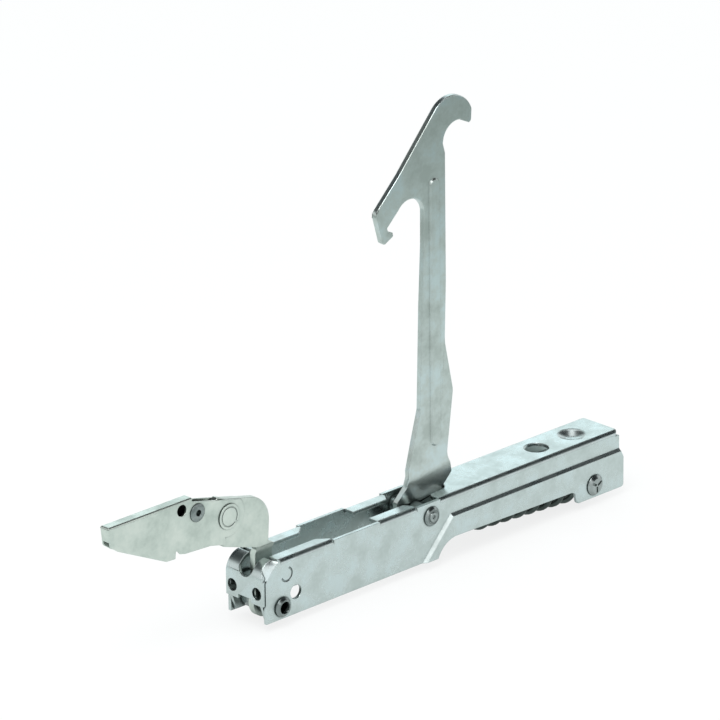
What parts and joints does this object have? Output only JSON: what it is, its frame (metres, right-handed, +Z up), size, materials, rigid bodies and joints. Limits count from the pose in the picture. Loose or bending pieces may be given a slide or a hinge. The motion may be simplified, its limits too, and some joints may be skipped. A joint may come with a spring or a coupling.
{
  "type": "oven door hinge",
  "caption": "Oven door hinge: folded steel channel with a hooked arm on a draw spring and a folding claw with a flip-over latch",
  "frame": {"origin": "The middle between the two front screw holes, on the outer face of the front block.", "axes": "+X runs back along the channel from the front block, +Y runs across the channel, +Z runs up the arm."},
  "size_m": [0.2788, 0.0277, 0.1953],
  "materials": {
    "zinc_sheet": "bright zinc-plated sheet steel, satin and slightly mottled",
    "zinc_plate": "bright zinc-plated stamped steel plate, satin",
    "rivet_steel": "zinc-plated rivet steel, satin",
    "spring_wire": "zinc-plated spring wire"
  },
  "bodies": {
    "channel": {"channel": "zinc_sheet", "front_block": "zinc_sheet", "front_pin": "rivet_steel", "claw_spacer_near": "rivet_steel", "claw_spacer_far": "rivet_steel", "arm_pin": "rivet_steel", "arm_bush_near": "rivet_steel", "arm_bush_far": "rivet_steel", "rear_pin": "rivet_steel", "rear_sleeve_near": "rivet_steel", "rear_sleeve_far": "rivet_steel", "spring": "spring_wire"},
    "claw": {"claw": "zinc_plate", "latch_pivot_rivet": "rivet_steel"},
    "latch": {"latch": "zinc_sheet", "latch_stop_rivet": "rivet_steel"},
    "arm": {"arm": "zinc_plate", "foot_pin": "rivet_steel"},
    "draw_link": {"link_near": "zinc_plate", "link_far": "zinc_plate", "link_pin": "rivet_steel"}
  },
  "joints": [
    {"name": "claw_hinge", "type": "hinge", "parent": "channel", "child": "claw", "pos_m": [0.0102, 0, -0.0073], "axis": [0, 1, 0], "range_deg": [-8, 90]},
    {"name": "latch_hinge", "type": "hinge", "parent": "claw", "child": "latch", "pos_m": [-0.0113, -0.0018, 0.0357], "axis": [0, 1, 0], "range_deg": [0, 128]},
    {"name": "arm_hinge", "type": "hinge", "parent": "channel", "child": "arm", "pos_m": [0.0933, 0, 0.0066], "axis": [0, -1, 0], "range_deg": [0, 18]},
    {"name": "draw_slide", "type": "slide", "parent": "channel", "child": "draw_link", "axis": [1, 0, 0], "range_m": [0, 0.0027], "deforming": ["spring"]}
  ],
  "couplings": [
    {"joint": "draw_slide", "follows": "arm_hinge", "m_per_rad": 0.0084}
  ]
}
